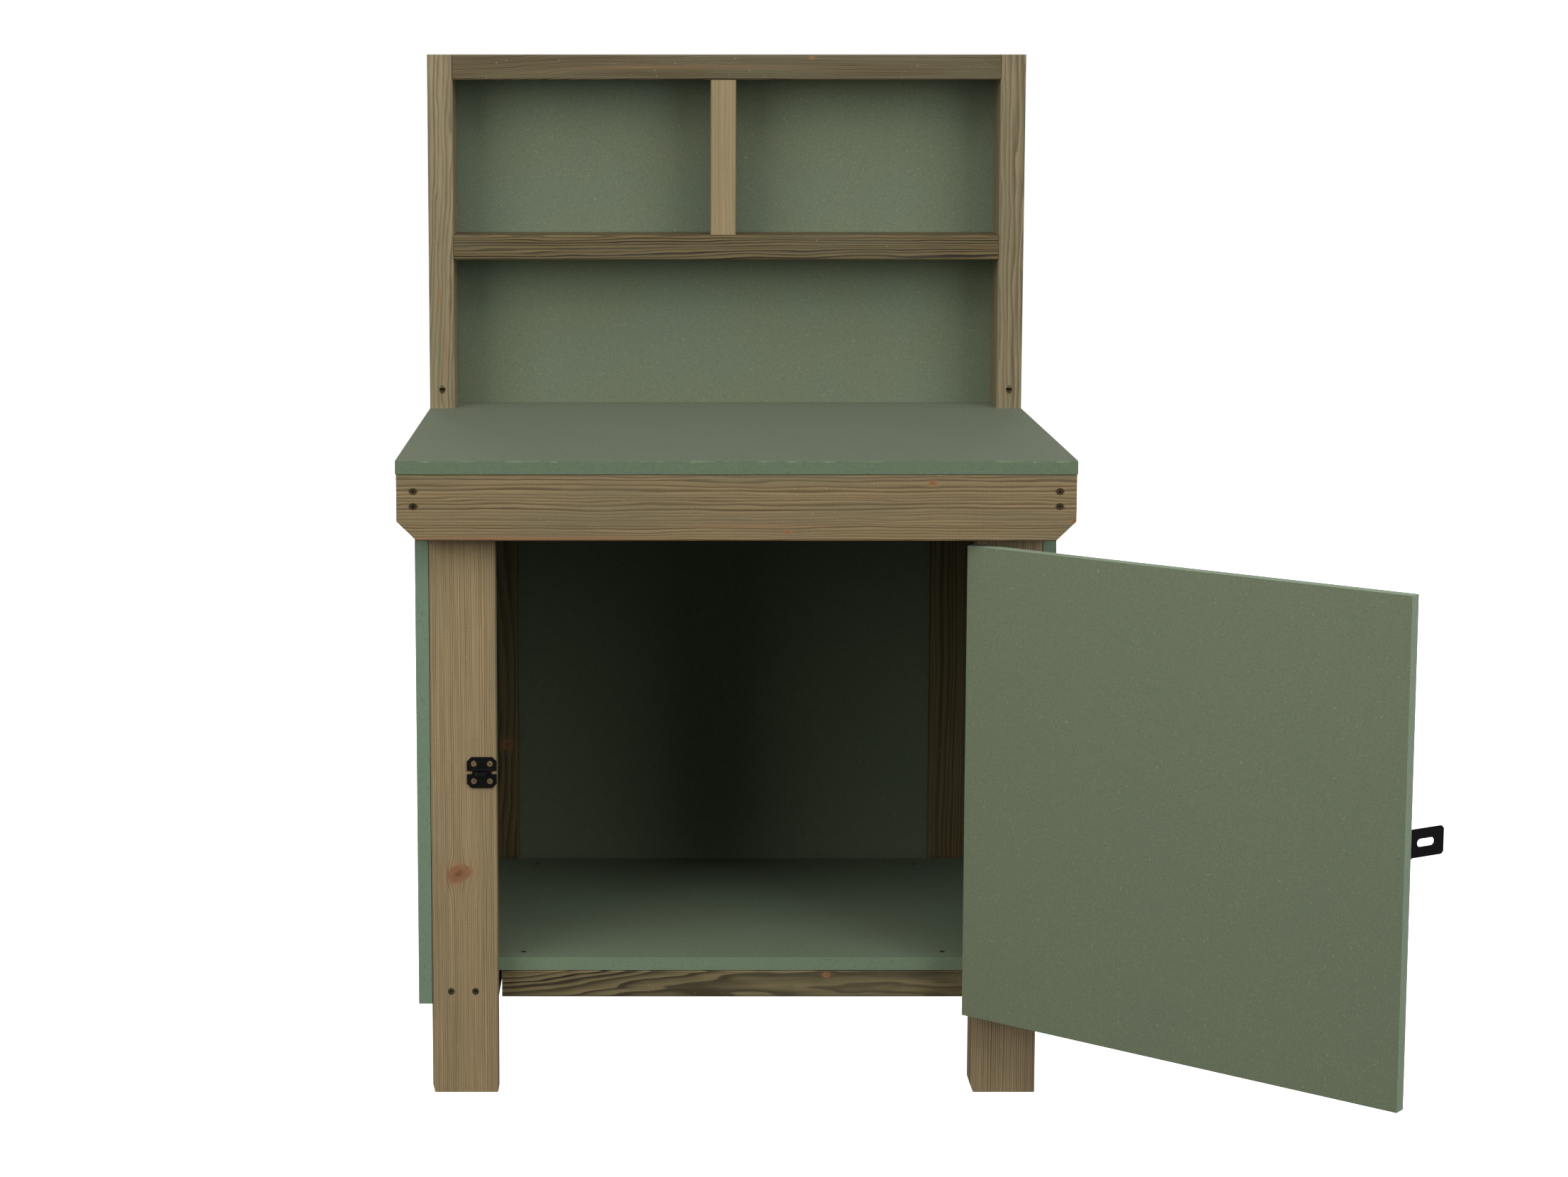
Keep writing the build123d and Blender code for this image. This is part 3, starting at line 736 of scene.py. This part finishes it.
def easedPiece(node, kind, material):
    look = easing[kind]
    shape = bmesh.new()
    shape.from_mesh(frame["nodes"][node].data)
    bmesh.ops.remove_doubles(shape, verts=shape.verts, dist=meshing["weld"])
    flatTo = math.radians(meshing["flatTo"])
    bmesh.ops.dissolve_limit(shape, angle_limit=flatTo, verts=shape.verts, edges=shape.edges)
    if node in footClips:
        point, way = footClips[node]
        away = Vector(way).normalized()
        whole = list(shape.verts) + list(shape.edges) + list(shape.faces)
        bmesh.ops.bisect_plane(shape, geom=whole, plane_co=point, plane_no=away, clear_outer=True)
        bmesh.ops.holes_fill(shape, edges=[edge for edge in shape.edges if edge.is_boundary])
    if kind == "timber":
        roundCorners(shape, node)
    sharpFrom = math.radians(look["sharpFrom"])
    sharp = [
        edge for edge in shape.edges
        if edge.is_manifold and edge.is_convex and edge.calc_face_angle() > sharpFrom
    ]
    bmesh.ops.bevel(
        shape, geom=sharp, offset=look["width"], offset_type="OFFSET", segments=look["segments"],
        profile=0.5, affect="EDGES", clamp_overlap=True, material=-1,
    )
    bmesh.ops.dissolve_degenerate(shape, dist=meshing["leastEdge"], edges=shape.edges)
    shadeSmooth(shape, meshing["smoothTo"])
    addPiece(shape, node, material)


# Screws: countersunk heads with a cross recess
screwShape = {
    "sides": 28,
    "face": 0.94,  # sizes are shares of the head's radius, and the tip's width is a share of the shank's
    "rim": 0.06,
    "recess": 0.62,
    "slotWidth": 0.2,
    "recessDepth": 0.5,
    "recessTaper": (0.45, 0.55, 1),
    "tipWidth": 0.2,
    "tipFrom": 0.004,  # metres
    "tipLength": 0.006,
    "smoothTo": 35,  # degrees
    "turnSeed": 5,
}
screwFinding = {"tipReach": 0.0012, "headLevel": 0.0004}  # metres, to tell a screw's tip from its head


def crossScrew(headRadius, shankRadius, length):
    look = screwShape
    shape = bmesh.new()
    radius = headRadius * look["face"]
    bmesh.ops.create_circle(shape, cap_ends=True, segments=look["sides"], radius=radius)
    ring = list(shape.faces)
    profile = (  # each step's radius, and how far down it is from the last
        (headRadius, headRadius * look["rim"]),
        (headRadius, headRadius * look["rim"]),
        (shankRadius, headRadius - shankRadius),
        (shankRadius, length - headRadius - look["tipFrom"]),
        (shankRadius * look["tipWidth"], look["tipLength"]),
    )
    for wanted, drop in profile:
        rim = [edge for face in ring for edge in face.edges]
        grown = bmesh.ops.extrude_face_region(shape, geom=ring + rim)
        verts = [item for item in grown["geom"] if isinstance(item, bmesh.types.BMVert)]
        ring = [item for item in grown["geom"] if isinstance(item, bmesh.types.BMFace)]
        bmesh.ops.translate(shape, verts=verts, vec=(0, 0, -drop))
        grow = wanted / radius
        bmesh.ops.scale(shape, verts=verts, vec=(grow, grow, 1))
        radius = wanted
    bmesh.ops.recalc_face_normals(shape, faces=shape.faces)
    mesh = bpy.data.meshes.new("screwBlank")
    shape.to_mesh(mesh)
    shape.free()
    blank = bpy.data.objects.new("screwBlank", mesh)
    scene.collection.objects.link(blank)
    driver = bmesh.new()
    for turn in (0, math.pi / 2):
        bar = bmesh.ops.create_cube(driver, size=1.0)["verts"]
        size = [headRadius * look[part] * 2 for part in ("recess", "slotWidth", "recessDepth")]
        bmesh.ops.scale(driver, verts=bar, vec=size)
        deep = [vert for vert in bar if vert.co.z < 0]
        bmesh.ops.scale(driver, verts=deep, vec=look["recessTaper"])
        bmesh.ops.rotate(driver, verts=bar, cent=(0, 0, 0), matrix=Matrix.Rotation(turn, 3, "Z"))
    cutterMesh = bpy.data.meshes.new("screwDriver")
    driver.to_mesh(cutterMesh)
    driver.free()
    cutter = bpy.data.objects.new("screwDriver", cutterMesh)
    scene.collection.objects.link(cutter)
    cut = blank.modifiers.new("crossRecess", "BOOLEAN")
    cut.operation = "DIFFERENCE"
    cut.solver = "EXACT"
    cut.use_self = True
    cut.object = cutter
    graph = bpy.context.evaluated_depsgraph_get()
    finished = bpy.data.meshes.new_from_object(blank.evaluated_get(graph))
    for spare in (blank, cutter):
        bpy.data.objects.remove(spare)
    return finished


def screwPlaces(node):  # parts a node's screws from each other and says where each one is
    shape = bmesh.new()
    shape.from_mesh(frame["nodes"][node].data)
    bmesh.ops.remove_doubles(shape, verts=shape.verts, dist=meshing["weld"])
    left = set(shape.verts)
    places = []
    for start in shape.verts:
        if start not in left:
            continue
        left.remove(start)
        heap = [start]
        island = []
        while heap:
            vert = heap.pop()
            island.append(vert.co.copy())
            for edge in vert.link_edges:
                other = edge.other_vert(vert)
                if other in left:
                    left.remove(other)
                    heap.append(other)
        places.append(screwPlace(island))
    shape.free()
    places.sort(key=lambda place: tuple(round(part, 4) for part in place[0]))
    return places


def screwPlace(points):
    reach = screwFinding["tipReach"]
    middle = sum(points, Vector()) / len(points)
    oneEnd = max(points, key=lambda point: (point - middle).length)
    otherEnd = max(points, key=lambda point: (point - oneEnd).length)
    rings = [[point for point in points if (point - end).length < reach] for end in (oneEnd, otherEnd)]
    tipRing = max(rings, key=len)  # the tip's small ring is the crowded end
    tip = sum(tipRing, Vector()) / len(tipRing)
    inward = (tip - middle).normalized()
    start = min(point.dot(inward) for point in points)
    headRing = [point for point in points if point.dot(inward) < start + screwFinding["headLevel"]]
    head = sum(headRing, Vector()) / len(headRing)
    inward = (tip - head).normalized()
    headRadius = max((point - head).length for point in headRing)
    side = [(point - head) - inward * (point - head).dot(inward) for point in points]
    deep = [offset.length for offset, point in zip(side, points) if (point - head).dot(inward) > headRadius]
    return head, inward, headRadius, max(deep), (tip - head).length


def driveScrews(node, material):
    turns = random.Random(screwShape["turnSeed"] + len(node))
    shape = bmesh.new()
    blanks = {}
    for head, inward, headRadius, shankRadius, length in screwPlaces(node):
        key = (round(headRadius, 4), round(length, 3))
        if key not in blanks:
            blanks[key] = crossScrew(headRadius, shankRadius, length)
        before = set(shape.verts)
        shape.from_mesh(blanks[key])
        fresh = [vert for vert in shape.verts if vert not in before]
        turn = Matrix.Rotation(turns.uniform(0, math.pi / 2), 4, "Z")
        aim = (-inward).to_track_quat("Z", "Y").to_matrix().to_4x4()
        bmesh.ops.transform(shape, matrix=Matrix.Translation(head) @ aim @ turn, verts=fresh)
    shadeSmooth(shape, screwShape["smoothTo"])
    for mesh in blanks.values():
        bpy.data.meshes.remove(mesh)
    addPiece(shape, node, material)


for node, (axes, own) in timbers.items():
    easedPiece(node, "timber", timberFinish(node, axes, own))
print("timber is cut and finished")

for node, (flat, own) in boards.items():
    easedPiece(node, "board", boardFinish(node, flat, own))
print("green boards are in")

blackIron = ironFinish("blackJapan", ironLook)
for node, slot in slotOf.items():
    if slot == "black_iron":
        easedPiece(node, "iron", blackIron)
print("ironwork is on")

screwPaints = {
    "brass_screws": screwFinish("brassScrew", screwLooks["brass"]),
    "frame_screws": screwFinish("dullScrew", screwLooks["dull"]),
    "leg_screws": screwFinish("buriedScrew", screwLooks["buried"]),
    "black_screws": screwFinish("blackScrew", screwLooks["black"]),
}
for node, slot in slotOf.items():
    if slot in screwPaints:
        driveScrews(node, screwPaints["leg_screws" if node == "leg_screws" else slot])
print("screws are driven")
